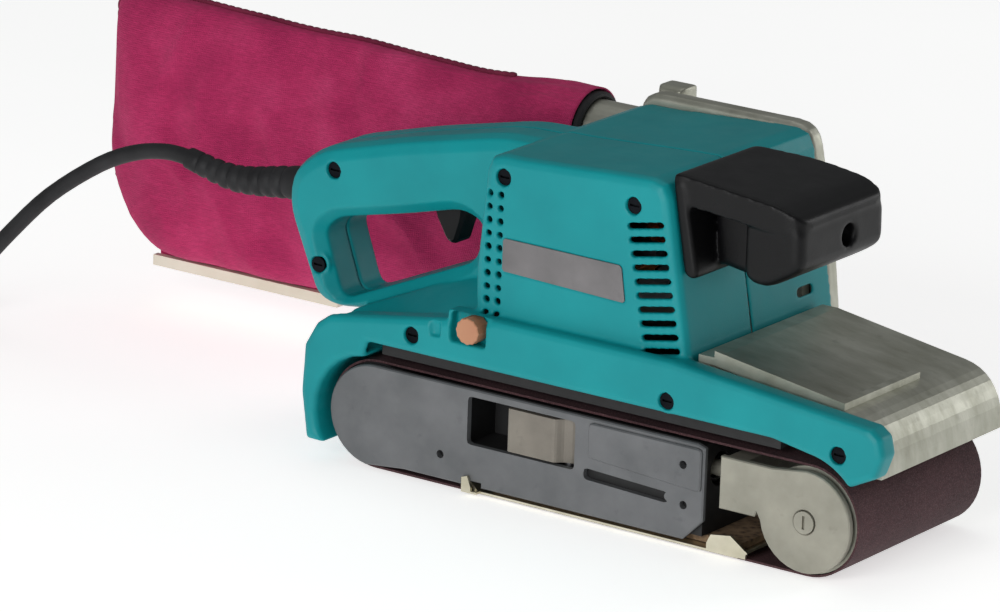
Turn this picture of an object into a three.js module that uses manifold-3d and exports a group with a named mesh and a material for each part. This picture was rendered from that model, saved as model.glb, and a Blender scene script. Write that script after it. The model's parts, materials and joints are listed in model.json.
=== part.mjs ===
// Handheld belt sander, millimetres, +Z up.
// +X points to the front roller, +Y to the drive side, z = 0 is the sanding face,
// and the origin is the middle of the sanding face between the two rollers.
import * as THREE from 'three';
import Module from 'manifold-3d';
import { mergeVertices } from 'three/addons/utils/BufferGeometryUtils.js';

const wasm = await Module();
wasm.setup();

// ---- Driving dimensions -------------------------------------------------------
const BELT_WIDTH = 100;
const BELT_LENGTH = 610;
const BELT_THICKNESS = 1;
const ROLLER_REACH = 25; // axle to the outside of the belt
const GAP = 0.3; // between touching pieces

const AXLE_SPACING = (BELT_LENGTH - 2 * Math.PI * ROLLER_REACH) / 2;
const FRONT = [AXLE_SPACING / 2, ROLLER_REACH]; // x, z of the front axle
const REAR = [-AXLE_SPACING / 2, ROLLER_REACH];
const EDGE = BELT_WIDTH / 2;
const BELT_INSIDE = ROLLER_REACH - BELT_THICKNESS;
const ROLLER_RADIUS = BELT_INSIDE - GAP;
const ROLLER_END = EDGE - 1;
const ARCH = ROLLER_REACH + 3; // clearance of the housing around the belt

const WALL = 3; // moulded housing wall
const SKIRT_FACE = -60; // outer face of the near skirt
const SKIRT_BACK = -47;
const BLOCK_NEAR = -52;
const BLOCK_FAR = 64;
const HANDLE_HALF = 20;
const SPLIT = 0.15; // each housing half stops this far from y = 0
const DECK = 60; // top of the main frame, where the housing stands

const MOTOR = [-8, 120]; // x, z of the armature axis
const PINION_TEETH = 12;
const GEAR_TEETH = 26;
const GEAR_MODULE = 1.25;
const GEAR_DISTANCE = (GEAR_MODULE * (PINION_TEETH + GEAR_TEETH)) / 2 + 0.1;
const GEAR_ANGLE = (-136 * Math.PI) / 180;
const GEAR_AXIS = [
  MOTOR[0] + GEAR_DISTANCE * Math.cos(GEAR_ANGLE),
  MOTOR[1] + GEAR_DISTANCE * Math.sin(GEAR_ANGLE),
];
const SMALL_PULLEY = 10;
const LARGE_PULLEY = 17.4;

const CORD_RADIUS = 3.75;
const COIL_CENTRE = [-440, -44];
const COIL_RADIUS = 41; // middle of the turns
const COIL_HALF_WIDTH = 11.4;
const COIL_HEIGHT = 22.5;

// ---- Colours ------------------------------------------------------------------
const TEAL = [0x1d9099, 0.45, 0];
const BLACK = [0x17171a, 0.5, 0];
const DARK = [0x2b2b2e, 0.6, 0];
const PLATE_GREY = [0x6c6e6e, 0.45, 0.6];
const LIGHT_GREY = [0xaaa59e, 0.5, 0.5];
const CAST = [0xa6a69e, 0.4, 0.8];
const STEEL = [0xb9bbbd, 0.3, 1];
const COPPER = [0xb87333, 0.35, 1];
const BERRY = [0xa02855, 0.9, 0];

// ---- Solids -------------------------------------------------------------------
function solid(geometry) {
  const bare = geometry.clone();
  bare.deleteAttribute('normal');
  bare.deleteAttribute('uv');
  const merged = mergeVertices(bare, 1e-4);
  const vertProperties = new Float32Array(merged.attributes.position.array);
  const all = merged.index.array;
  const kept = [];
  for (let i = 0; i < all.length; i += 3) {
    const [a, b, c] = [all[i], all[i + 1], all[i + 2]];
    if (a !== b && b !== c && a !== c) kept.push(a, b, c);
  }
  if (signedVolume(vertProperties, kept) < 0) kept.reverse();
  const mesh = new wasm.Mesh({ numProp: 3, vertProperties, triVerts: new Uint32Array(kept) });
  return new wasm.Manifold(mesh);
}

function signedVolume(points, triangles) {
  let volume = 0;
  const [a, b, c] = [new THREE.Vector3(), new THREE.Vector3(), new THREE.Vector3()];
  for (let i = 0; i < triangles.length; i += 3) {
    a.fromArray(points, triangles[i] * 3);
    b.fromArray(points, triangles[i + 1] * 3);
    c.fromArray(points, triangles[i + 2] * 3);
    volume += a.dot(b.cross(c)) / 6;
  }
  return volume;
}

function joined(...pieces) {
  return pieces.reduce((sum, piece) => sum.add(piece));
}

function cut(body, ...tools) {
  return tools.reduce((rest, tool) => rest.subtract(tool), body);
}

// An outline of [a, b] points, pushed along one axis, with its end edges rounded.
function pushed(outline, low, high, bevel, holes) {
  const shape = new THREE.Shape(outline.map(([a, b]) => new THREE.Vector2(a, b)));
  for (const hole of holes) {
    shape.holes.push(new THREE.Path(hole.map(([a, b]) => new THREE.Vector2(a, b))));
  }
  const geometry = new THREE.ExtrudeGeometry(shape, {
    depth: high - low - 2 * bevel,
    bevelEnabled: bevel > 0,
    bevelThickness: bevel,
    bevelSize: bevel,
    bevelOffset: -bevel,
    bevelSegments: bevel > 2 ? 2 : 1,
    curveSegments: 1,
  });
  return geometry.translate(0, 0, low + bevel);
}

function alongX(outline, low, high, { bevel = 0, holes = [] } = {}) {
  const turn = new THREE.Matrix4().set(0, 0, 1, 0, 1, 0, 0, 0, 0, 1, 0, 0, 0, 0, 0, 1);
  return solid(pushed(outline, low, high, bevel, holes).applyMatrix4(turn));
}

function alongY(outline, low, high, { bevel = 0, holes = [] } = {}) {
  return solid(pushed(outline, -high, -low, bevel, holes).rotateX(Math.PI / 2));
}

function alongZ(outline, low, high, { bevel = 0, holes = [] } = {}) {
  return solid(pushed(outline, low, high, bevel, holes));
}

function rectangle(a0, a1, b0, b1) {
  return [[a0, b0], [a1, b0], [a1, b1], [a0, b1]];
}

function box(x0, x1, y0, y1, z0, z1, bevel = 0) {
  return alongY(rectangle(x0, x1, z0, z1), y0, y1, { bevel });
}

function arc([a, b], radius, from, to, steps) {
  return Array.from({ length: steps + 1 }, (_, i) => {
    const angle = ((from + ((to - from) * i) / steps) * Math.PI) / 180;
    return [a + radius * Math.cos(angle), b + radius * Math.sin(angle)];
  });
}

function circle(centre, radius, sides = 24) {
  return arc(centre, radius, 0, 360, sides).slice(0, -1);
}

function rodY(centre, radius, low, high, sides = 24) {
  return alongY(circle(centre, radius, sides), low, high);
}

function ringY(centre, inner, outer, low, high, sides = 20) {
  return alongY(circle(centre, outer, sides), low, high, { holes: [circle(centre, inner, sides)] });
}

// Corners of a polygon replaced with short curves.
function rounded(points, radius, steps = 2) {
  return points.flatMap((point, i) => {
    const corner = new THREE.Vector2(...point);
    const before = new THREE.Vector2(...points[(i + points.length - 1) % points.length]);
    const after = new THREE.Vector2(...points[(i + 1) % points.length]);
    const inward = before.clone().sub(corner);
    const outward = after.clone().sub(corner);
    const reach = Math.min(radius, inward.length() * 0.45, outward.length() * 0.45);
    const start = corner.clone().add(inward.setLength(reach));
    const end = corner.clone().add(outward.setLength(reach));
    const curve = new THREE.QuadraticBezierCurve(start, corner, end);
    return curve.getPoints(steps).map((p) => [p.x, p.y]);
  });
}

// The loop that a belt takes round two wheels.
function loop(centreA, radiusA, centreB, radiusB, steps = 20) {
  const [dx, dz] = [centreB[0] - centreA[0], centreB[1] - centreA[1]];
  const along = (Math.atan2(dz, dx) * 180) / Math.PI;
  const lean = (Math.acos((radiusA - radiusB) / Math.hypot(dx, dz)) * 180) / Math.PI;
  return [
    ...arc(centreA, radiusA, along + lean, along + 360 - lean, steps),
    ...arc(centreB, radiusB, along - lean, along + lean, steps),
  ];
}

// A closed [radius, y] profile turned about the Y direction through (x, z).
function turned(profile, [x, z], sides = 40) {
  const points = [...profile, profile[0]].map(([r, y]) => new THREE.Vector2(r, y));
  return solid(new THREE.LatheGeometry(points, sides).translate(x, 0, z));
}

function toothed([x, z], teeth, low, high, phase) {
  const pitch = (GEAR_MODULE * teeth) / 2;
  const [root, tip] = [pitch - 1.5, pitch + 1.05];
  const outline = [];
  for (let i = 0; i < teeth; i += 1) {
    const middle = phase + (i * 2 * Math.PI) / teeth;
    for (const [radius, half] of [[root, -1.15], [tip, -0.35], [tip, 0.35], [root, 1.15]]) {
      const angle = middle + half / radius;
      outline.push([x + radius * Math.cos(angle), z + radius * Math.sin(angle)]);
    }
  }
  return alongY(outline, low, high);
}

// ---- The scene graph ------------------------------------------------------------
const sander = new THREE.Group();

function place(name, body, [colour, roughness, metalness]) {
  let geometry = body;
  if (body.getMesh) {
    const mesh = body.getMesh();
    geometry = new THREE.BufferGeometry();
    geometry.setAttribute('position', new THREE.BufferAttribute(mesh.vertProperties, 3));
    geometry.setIndex(new THREE.BufferAttribute(mesh.triVerts, 1));
  }
  geometry.computeVertexNormals();
  const material = new THREE.MeshStandardMaterial({ color: colour, roughness, metalness });
  const piece = new THREE.Mesh(geometry, material);
  piece.name = name;
  sander.add(piece);
}

// ---- Housing halves -------------------------------------------------------------
const FACE_FOOT = [49, 86];
const FACE_RAKE = 0.187; // the front of the motor block leans back this much per mm of height
const faceX = (z) => FACE_FOOT[0] - FACE_RAKE * (z - FACE_FOOT[1]);
const NOSE_TOP = [146.5, 74.6];

const blockOutline = rounded(
  [[-61, DECK], [53, DECK], FACE_FOOT, [faceX(160), 160], [10, 159], [-40, 156], [-58, 156], [-63, 100]],
  8,
);
const handleOutline = rounded(
  [[-40, 66], [-40, 155], [-73, 154.5], [-127, 142.5], [-173, 130], [-188.5, 117], [-190, 100],
    [-173, 61], [-163, 57], [-140, 60]],
  10,
  3,
);
const handleHole = rounded(
  [[-170, 92], [-159, 61.5], [-87, 93], [-82.5, 111], [-95, 115.5], [-125.7, 107.5], [-163, 99]],
  6,
  3,
);
const rearOutline = [
  [-146, 9], [-149.3, 31], [-148, 53], [-142, 64], [-134.6, 69.5], [-87, 90.5], [-57, 97], [-57, DECK],
  [REAR[0], DECK], ...arc(REAR, ARCH, 95, 215, 8),
];
const skirtOutline = [
  [-146, 9], [-149.3, 31], [-148, 53], [-142, 63.5], [-134.6, 69], [-45, 84], [46, 84], NOSE_TOP,
  [151.5, 71], [153.5, 63], [150, 53], [137, 46.5], ...arc(FRONT, ARCH + 4, 48, 84, 6), [98, DECK],
  [REAR[0], DECK], ...arc(REAR, ARCH, 95, 215, 8),
];

const blockInside = [
  [-58, DECK - 5], [50, DECK - 5], [48, 86], [faceX(157) - WALL, 156.5], [10, 156], [-40, 153], [-56, 153],
  [-60, 100],
];
const handleInside = rounded(
  [[-45, 70], [-45, 152], [-73, 151.5], [-127, 139.5], [-171, 127], [-185, 115], [-186.5, 101],
    [-171, 64], [-140, 64]],
  8,
);
const handleHoleInside = rounded(
  [[-173.2, 92], [-161, 57.5], [-84.3, 90], [-79.3, 113], [-94, 119], [-126, 111], [-165, 102]],
  6,
);
const rearInside = [[-131, DECK - 5], [-131, 67.5], [-87, 87], [-50, 94], [-50, DECK - 5]];
const skirtInside = [
  [-131, DECK - 5], [-131, 66], [-45, 81], [46, 81], [145, 71.5], [150, 63], [147, 55.5], [137.5, 50.5],
  [120, 62], [98, 63.5], [96, DECK - 5],
];

// The shelf between the near skirt and the foot of the handle slopes down to the near side.
const SHELF = { down: [0.3155, 0.328, -0.8902], offset: -110.9 };

// A tool that widens by 5 mm from the low or the high end, to soften the edge of an opening.
function flare(outline, nearEnd, farEnd) {
  const [low, high] = [Math.min(nearEnd, farEnd), Math.max(nearEnd, farEnd)];
  const shape = new THREE.Shape(outline.map(([a, b]) => new THREE.Vector2(a, b)));
  const geometry = new THREE.ExtrudeGeometry(shape, {
    depth: high - low - 10,
    bevelThickness: 5,
    bevelSize: 5,
    bevelSegments: 1,
    curveSegments: 1,
  });
  return solid(geometry.rotateX(Math.PI / 2).translate(0, high - 5, 0));
}

function housingSolid() {
  const outer = joined(
    alongY(blockOutline, BLOCK_NEAR, BLOCK_FAR + 4, { bevel: 4 }),
    alongY(handleOutline, -HANDLE_HALF, HANDLE_HALF, { bevel: 7 }),
    alongY(rearOutline, -57.5, EDGE + 3).trimByPlane(SHELF.down, SHELF.offset),
    alongY(skirtOutline, SKIRT_FACE, SKIRT_BACK, { bevel: 3 }),
  );
  return cut(
    outer,
    alongY(blockInside, BLOCK_NEAR + WALL, BLOCK_FAR + 10),
    cut(
      alongY(handleInside, WALL - HANDLE_HALF, HANDLE_HALF - WALL),
      alongY(handleHoleInside, -HANDLE_HALF, HANDLE_HALF),
    ),
    alongY(rearInside, -54.5, EDGE).trimByPlane(SHELF.down, SHELF.offset + WALL),
    alongY(skirtInside, SKIRT_FACE + WALL, -40),
    alongY(handleHole, -HANDLE_HALF - 40, HANDLE_HALF + 40),
    flare(handleHole, -HANDLE_HALF + 5, -HANDLE_HALF - 40),
    flare(handleHole, HANDLE_HALF + 40, HANDLE_HALF - 5),
    box(-400, 400, BLOCK_FAR, 200, -10, 300),
  );
}

const HOUSING_SCREWS = [
  [18.8, 146, BLOCK_NEAR], [-48.9, 146, BLOCK_NEAR], [-163, 121.5, -HANDLE_HALF],
  [-171, 76, -HANDLE_HALF], [-89.6, 68.3, SKIRT_FACE], [44.6, 65.8, SKIRT_FACE], [131.6, 60, SKIRT_FACE],
];
const SCREW_HEAD = 3.6;
const SCREW_SUNK = 1.4; // below the face around it
const SCREW_DEPTH = 2.4;
const VENT_PITCH = 6;
const VENT_LENGTH = 18.5;
const KNOB = [-58, 77];

function ventSlots() {
  const slots = [];
  for (let i = 0; i < 10; i += 1) {
    const z = 138 - VENT_PITCH * i;
    const x = 16 + 1.2 * i;
    const rise = FACE_RAKE * VENT_LENGTH; // the slots stand square to the leaning front face
    slots.push(alongY(
      [[x, z - 2.6], [x + VENT_LENGTH, z - 2.6 + rise], [x + VENT_LENGTH, z + rise], [x, z]],
      BLOCK_NEAR - 2,
      BLOCK_NEAR + WALL + 1,
    ));
    for (const column of [-57.5, -51.5]) {
      slots.push(box(column, column + 3.4, BLOCK_NEAR - 2, BLOCK_NEAR + WALL + 1, z - 1.3, z + 1.3));
    }
  }
  return slots;
}

function trackingRecess() {
  const [x, z] = KNOB;
  const pocket = box(x - 11, x + 8, SKIRT_FACE - 1, -53.5, z - 6.7, z + 6.7);
  const surround = box(x - 13, x + 10.5, SKIRT_FACE + 1, -51, z - 9, z + 7);
  return { pocket, surround };
}

const TRIGGER = { x0: -117, x1: -101, half: 6.5, low: 95, high: 116.5 };
const LOCK_BUTTON = [-92, 124];

const LABEL = rounded([[-48, 119.5], [-48, 104], [17, 102], [14.5, 119]], 1, 1);

function screwSockets() {
  return HOUSING_SCREWS.map(([x, z, face]) =>
    rodY([x, z], SCREW_HEAD + GAP, face - 1, face + SCREW_SUNK + SCREW_DEPTH + GAP, 20));
}

const shell = housingSolid();

function housingRight() {
  const { pocket, surround } = trackingRecess();
  const bearingSeat = ringY(MOTOR, 10 + GAP, 13.5, BLOCK_NEAR + WALL - 0.5, -40.7);
  const pads = HOUSING_SCREWS.map(([x, z, face]) => rodY([x, z], 6, face + 1.8, face + 12, 12));
  const near = joined(
    cut(shell, box(-400, 400, -SPLIT, 200, -10, 300)),
    surround,
    bearingSeat,
    ...pads.slice(0, 6),
  );
  return cut(
    near,
    pocket,
    rodY(KNOB, 2.5 + GAP, -60, -45, 20),
    box(-79.5, -74, SKIRT_FACE - 1, SKIRT_FACE + 2, 70.5, 77.5),
    alongY(LABEL, BLOCK_NEAR - 1, BLOCK_NEAR + 1.1),
    box(TRIGGER.x0 - GAP, TRIGGER.x1 + GAP, -TRIGGER.half - GAP, 1, 100, 118),
    alongX(circle([0, 106.5], 9.6, 24), -195, -175),
    alongY(handleHole, -30, 1),
    ...ventSlots(),
    ...screwSockets(),
  );
}

function housingLeft() {
  return cut(
    cut(shell, box(-400, 400, -200, SPLIT, -10, 300)),
    box(TRIGGER.x0 - GAP, TRIGGER.x1 + GAP, -1, TRIGGER.half + GAP, 100, 118),
    alongX(circle([0, 106.5], 9.6, 24), -195, -175),
    rodY(LOCK_BUTTON, 4.5 + GAP, 10, HANDLE_HALF + 2, 20),
    box(44, 60, 38, 50, 91, 94.5),
  );
}

function labelPlate() {
  const inset = LABEL.map(([x, z]) => [x + (x < -20 ? 0.4 : -0.4), z + (z > 110 ? -0.4 : 0.4)]);
  return alongY(inset, BLOCK_NEAR - 0.2, BLOCK_NEAR + 0.8);
}

// ---- Frame and belt unit -----------------------------------------------------------
const PLATE_NEAR = -54; // near face of the cover plate and of the roller holder
const FAR_WALL = [53.6, 60];
const LEVER_PIVOT = [-12, -46.5];
const TENSION_ROD = [-38, 34]; // y, z

function mainFrame() {
  const farWall = joined(
    box(REAR[0], 68, ...FAR_WALL, 5, 59),
    box(-112, 97, ...FAR_WALL, 52, 59.7),
    rodY(REAR, 20, ...FAR_WALL),
    rodY(REAR, 14, FAR_WALL[1] - 1, 75),
  );
  const body = joined(
    farWall,
    box(-112, 97, -49.5, FAR_WALL[1], 53, 59.7),
    box(-84, 60, -50.7, FAR_WALL[0] + 1, 6.2, 47),
  );
  return cut(
    body,
    box(-78, 54, -22, 48, 12, 60),
    box(-63, -4, -52, -31, 22.5, 44.5),
    alongX(circle([...TENSION_ROD], 7.8, 24), 28, 62),
    alongX(circle([...TENSION_ROD], 3.5 + GAP, 20), -8, 30),
    alongZ(circle(LEVER_PIVOT, 2.5 + GAP, 16), 18.5, 48),
    rodY(REAR, 11 + GAP, FAR_WALL[0] - 1, FAR_WALL[1] - GAP),
    rodY(REAR, 6 + GAP, FAR_WALL[0] - 1, 76),
    box(-40, 30, -46, 40, 52, 61),
  );
}

function coverPlate() {
  const outline = [
    ...arc(REAR, BELT_INSIDE - 0.7, 90, 262, 20),
    [-96, 4], [-64, 4], [-64, 6.2], [-54, 6.2], [-54, 4], [52, 4], [62, 14], [62, 47],
    [58, BELT_INSIDE + ROLLER_REACH - 0.7],
  ];
  const opening = rounded([[-62, 23], [-5, 23], [-5, 45], [-62, 45]], 2);
  const raised = rounded([[2.5, 30.5], [61, 27], [61, 46.5], [2.5, 46.5]], 2);
  const slotEnd = [44, 21.5];
  const slot = rounded([[0, 20.2], [44, 18.5], [44, 23.5], [0, 25.4]], 2);
  return cut(
    joined(
      alongY(outline, PLATE_NEAR, -51, { bevel: 0.6 }),
      alongY(raised, PLATE_NEAR - 1.4, PLATE_NEAR + 1, { bevel: 0.6 }),
      rodY(REAR, 5, -52, -43.6),
      rodY(slotEnd, 1.9, PLATE_NEAR + 0.4, -51, 16),
    ),
    alongY(opening, -60, -50.8),
    cut(alongY(slot, -60, -50.8), rodY(slotEnd, 1.9, -70, -40, 16)),
    ...[[52, 38], [52, 19.5], [-76, 15.3]].map((at) => rodY(at, 1.9, -60, -50.8, 16)),
  );
}

function tensionLever() {
  const plan = rounded(
    [[-41, -53.6], [-16, -53.6], [-13, -50.4], [-8.2, -49], [-6.5, -41.5], [-10, -40.5], [-16, -44],
      [-30, -48], [-41, -50.6]],
    1.2,
    2,
  );
  return cut(alongZ(plan, 24, 43.6), alongZ(circle(LEVER_PIVOT, 2.5 + GAP, 16), 20, 50));
}

const leverPin = () => alongZ(circle(LEVER_PIVOT, 2.5, 20), 18.9, 46.6);

function tensionSpring() {
  const STEPS = 8;
  const [turns, radius, start, end] = [6, 5.9, 29.3, 58.5];
  const points = [];
  for (let i = 0; i <= turns * STEPS; i += 1) {
    const angle = (i * 2 * Math.PI) / STEPS;
    const x = start + ((end - start) * i) / (turns * STEPS);
    points.push(new THREE.Vector3(
      x, TENSION_ROD[0] + radius * Math.cos(angle), TENSION_ROD[1] + radius * Math.sin(angle)));
  }
  return tube(new THREE.CatmullRomCurve3(points), 0.9, 5, turns * STEPS);
}

function tube(curve, radius, sides, steps) {
  const section = new THREE.Shape(circle([0, 0], radius, sides).map(([a, b]) => new THREE.Vector2(a, b)));
  return solid(new THREE.ExtrudeGeometry(section, { steps, extrudePath: curve, curveSegments: 1 }));
}

function frontYoke() {
  const arm = [
    [70, 22], [88, 22], [89, 24.5], ...arc(FRONT, 22.7, 190, 450, 26), [96, 45.5], [70, 45.5],
  ];
  const axleHole = circle(FRONT, 5 + GAP, 24);
  return joined(
    alongY(arm, PLATE_NEAR, -50.6, { bevel: 0.5, holes: [axleHole] }),
    alongY(arm, 50.4, 53.2, { holes: [axleHole] }),
    box(70, 80, -51.5, 51, 24, 44),
    alongX(circle([...TENSION_ROD], 3.5, 20), 1, 72),
  );
}

function frontRoller() {
  const [bore, seat, floor] = [5 + GAP, 9 + GAP, ROLLER_END - 5];
  return turned([
    [bore, -floor], [seat, -floor], [seat, -ROLLER_END], [ROLLER_RADIUS, -ROLLER_END],
    [ROLLER_RADIUS, ROLLER_END], [seat, ROLLER_END], [seat, floor], [bore, floor],
  ], FRONT);
}

function rearRoller() {
  const [bore, seat, floor] = [6 + GAP, 11 + GAP, ROLLER_END - 6];
  return turned([
    [bore, -floor], [seat, -floor], [seat, -ROLLER_END], [ROLLER_RADIUS, -ROLLER_END],
    [ROLLER_RADIUS, ROLLER_END], [bore, ROLLER_END],
  ], REAR);
}

function sandingBelt() {
  const outside = loop(FRONT, ROLLER_REACH, REAR, ROLLER_REACH, 24);
  const inside = loop(FRONT, BELT_INSIDE, REAR, BELT_INSIDE, 24);
  return alongY(outside, -EDGE, EDGE, { holes: [inside] });
}

function steelPlate() {
  const profile = [
    [-61, 5.7], [-59.6, 5.7], [-56, 2.3], [79, 2.3], [84, 5.2], [85, 4.3], [80, 1.3], [-57, 1.3],
  ];
  const rearClip = alongY([[-63, 1.3], [-58, 1.3], [-58, 4], [-60, 9], [-63, 8]], -55.8, -54.4);
  const frontClip = alongY([[64, 1.6], [84, 1.6], [84, 5], [76, 10.5], [66, 9], [64, 5]], -53, -51.8);
  return joined(
    alongY(profile, -53, 49.5),
    box(-61, -55, -55.8, -51, 1.3, 2.3),
    rearClip,
    frontClip,
  );
}

function trackingKnob() {
  const knurled = [];
  for (let i = 0; i < 24; i += 1) {
    const angle = (i * Math.PI) / 12;
    const radius = i % 2 ? 5.7 : 6.1;
    knurled.push([KNOB[0] + radius * Math.cos(angle), KNOB[1] + radius * Math.sin(angle)]);
  }
  return joined(alongY(knurled, -62.5, -53.9, { bevel: 0.4 }), rodY(KNOB, 2.5, -55, -46, 20));
}

// ---- Covers, grip and dust duct ------------------------------------------------------
const COVER_NEAR = SKIRT_BACK + GAP;
const COVER_FAR = 52;

function frontCover() {
  const nose = new THREE.QuadraticBezierCurve(
    new THREE.Vector2(126, 75.5), new THREE.Vector2(144.5, 72.5), new THREE.Vector2(146, 49));
  const noseInside = new THREE.QuadraticBezierCurve(
    new THREE.Vector2(142.7, 49), new THREE.Vector2(141, 69.1), new THREE.Vector2(125, 72.1));
  const points = (curve) => curve.getPoints(9).map((p) => [p.x, p.y]);
  const top = [[52, 61], [52, 85.6], [60, 85.6], ...points(nose)];
  const under = [...points(noseInside), [60, 82.2], [55, 82.2], [55, 61]];
  const side = [...top, [142, 48], ...arc(FRONT, ARCH + 2, 40, 90, 8), [100, 61]];
  const rib = alongY([[60, 84], [60, 88.6], [123, 79], [126, 78.6], [126, 74]], COVER_NEAR, -43.8);
  const acrossRib = alongY([[122.8, 74.6], [122.8, 79], [126, 78.6], [126, 74.2]], COVER_NEAR, 14);
  return joined(
    alongY([...top, ...under], COVER_NEAR, COVER_FAR),
    alongY(side, COVER_FAR - 3, COVER_FAR),
    alongY([[52, 61], [52, 85.6], [55, 85.6], [55, 61]], COVER_NEAR, COVER_FAR),
    rib,
    acrossRib,
  );
}

function gearHousing() {
  const outline = rounded(
    [[-62, 56], [faceX(62) - 3, 56], [faceX(110) - 0.5, 110], [faceX(161) - 1.5, 160.8], [-56, 160.8]],
    10,
    4,
  );
  return cut(
    alongY(outline, BLOCK_FAR + GAP, 75, { bevel: 2 }),
    rodY(MOTOR, 11, BLOCK_FAR, 72.6),
    rodY(GEAR_AXIS, 19.5, BLOCK_FAR, 72.6),
    rodY(GEAR_AXIS, 4 + GAP, BLOCK_FAR, 80, 20),
  );
}

function bearingPlate() {
  const outline = rounded([[-52, 66], [39, 66], [33, 150], [-50, 150]], 6);
  return cut(
    alongY(outline, 58, BLOCK_FAR - GAP),
    rodY(MOTOR, 10 + GAP, 57, 63),
    rodY(MOTOR, 7, 57, 65),
    rodY(GEAR_AXIS, 4 + GAP, 57, 65, 20),
  );
}

function beltCover() {
  return cut(
    alongY(loop(GEAR_AXIS, 18.5, REAR, 24, 16), 75.3, 91, { bevel: 2 }),
    alongY(loop(GEAR_AXIS, 15.8, REAR, 21.6, 16), 70, 88.6),
  );
}

const NOZZLE = [88, 130.5]; // y, z
const NOZZLE_OUTER = 15;

function dustNozzle() {
  return cut(
    joined(
      box(-66, -40, 75.3, 103, 116, 147, 3),
      box(-56, -42, 76, 92, 140, 161.5, 4),
      alongX(circle([...NOZZLE], NOZZLE_OUTER), -104, -60),
      alongX(circle([...NOZZLE], NOZZLE_OUTER + 2.5), -66, -61),
    ),
    alongX(circle([...NOZZLE], NOZZLE_OUTER - 2.5), -106, -43),
    box(-60, -43, 74, 88, 121, 142),
  );
}

function bagCollar() {
  return alongX(circle([...NOZZLE], NOZZLE_OUTER + 3.4), -120, -93, {
    bevel: 1,
    holes: [circle([...NOZZLE], NOZZLE_OUTER + 0.4)],
  });
}

const RAIL = { x0: -346, x1: -236, y: NOZZLE[0] + 3.5, z: 19 };

function dustBag() {
  const outline = rounded(
    [[-120.5, 103], [-120.5, 147], [-200, 148.5], [-360, 153], [-372, 140], [-372, 58], [-350, 27],
      [-330, 25], [-205, 26], [-152, 48]],
    22,
    2,
  );
  const lip = box(RAIL.x0 + 2, RAIL.x1 - 2, RAIL.y - 1, RAIL.y + 1, RAIL.z + 2.4, 32);
  return joined(alongY(outline, NOZZLE[0] - 17, NOZZLE[0] + 24, { bevel: 7 }), lip);
}

// The plastic rail that closes the bag's emptying slot; the cloth's folded lip sits in its groove.
function bagRail() {
  const { x0, x1, y, z } = RAIL;
  const section = [
    [y - 5, z], [y + 5, z], [y + 5, z + 5.2], [y + 1.4, z + 5.2], [y + 1.4, z + 2],
    [y - 1.4, z + 2], [y - 1.4, z + 5.2], [y - 5, z + 5.2],
  ];
  return alongX(section, x0, x1, { bevel: 0.3 });
}

const GRIP_SCREW = [-4, 138]; // y, z

function frontGrip() {
  const onFace = (z, out) => [faceX(z) + GAP + 0.1 + out, z];
  const flange = rounded([onFace(118, 0), onFace(118, 7), onFace(160, 6), onFace(160, 0)], 3, 2);
  const neck = [[50, 122], [46, 152], [80, 152], [80, 124], [66, 119.5]];
  const head = rounded(
    [[69, 121], [80, 118.5], [93, 126], [98.5, 130], [98, 150.5], [86, 154], [69, 154]],
    6,
    2,
  );
  const topSide = rounded(
    [onFace(150, 0), onFace(163.6, 0), [87, 156.5], [98.4, 151.5], [98.4, 145], [80, 145]],
    4,
  );
  const topPlan = rounded([[30, -48], [98.4, -43], [98.4, 25], [62, 25], [30, 12]], 8, 3);
  const topSlab = alongY(topSide, -48, 36).intersect(alongZ(topPlan, 140, 170));
  return cut(
    joined(
      alongY(flange, -48, 14, { bevel: 1 }),
      alongY(neck, -33, 12, { bevel: 4 }),
      alongY(head, -43, 25, { bevel: 4 }),
      topSlab,
    ),
    alongX(circle(GRIP_SCREW, 5, 24), 88, 100),
  );
}

const gripScrew = () => alongX(circle(GRIP_SCREW, 4.4, 24), 88.4, 91.5, { bevel: 0.4 });

// ---- Motor and drive ---------------------------------------------------------------------
const SHAFT = 4.5;

function stator() {
  const flatSided = circle(MOTOR, 33, 40).map(([x, z]) =>
    [x, Math.max(MOTOR[1] - 30, Math.min(MOTOR[1] + 30, z))]);
  return alongY(flatSided, -12, 28, { holes: [circle(MOTOR, 19.8, 40)] });
}

function armature() {
  return joined(
    rodY(MOTOR, SHAFT, -48, 64.4),
    rodY(MOTOR, 19, -12, 28, 36),
    rodY(MOTOR, 15.5, -19, 36, 28),
  );
}

function fan() {
  const blades = [];
  for (let i = 0; i < 12; i += 1) {
    const angle = (i * Math.PI) / 6;
    const [cos, sin] = [Math.cos(angle), Math.sin(angle)];
    const corner = (r, t) => [MOTOR[0] + r * cos - t * sin, MOTOR[1] + r * sin + t * cos];
    blades.push(alongY([corner(12, -0.8), corner(29, -0.8), corner(29, 0.8), corner(12, 0.8)], 42, 50));
  }
  const disc = ringY(MOTOR, SHAFT + GAP, 29.5, 49, 51.5);
  return joined(disc, ringY(MOTOR, SHAFT + GAP, 12.5, 42, 50), ...blades);
}

function motorPieces() {
  place('field_stator', stator(), [0x55585c, 0.5, 0.7]);
  place('armature', armature(), [0x8a6a4a, 0.5, 0.8]);
  place('commutator', ringY(MOTOR, SHAFT + GAP, 11.5, -36, -23), COPPER);
  place('fan', fan(), DARK);
  place('motor_bearing_near', ringY(MOTOR, SHAFT + GAP, 10, -47.8, -41), STEEL);
  place('motor_bearing_far', ringY(MOTOR, SHAFT + GAP, 10, 56, 62.6), STEEL);
  for (const [name, side] of [['front', 1], ['rear', -1]]) {
    const [near, far] = [MOTOR[0] + side * 11.9, MOTOR[0] + side * 27];
    const [low, high] = [Math.min(near, far), Math.max(near, far)];
    place(`carbon_brush_${name}`, box(low, high, -33, -26, MOTOR[1] - 4, MOTOR[1] + 4), DARK);
  }
}

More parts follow.
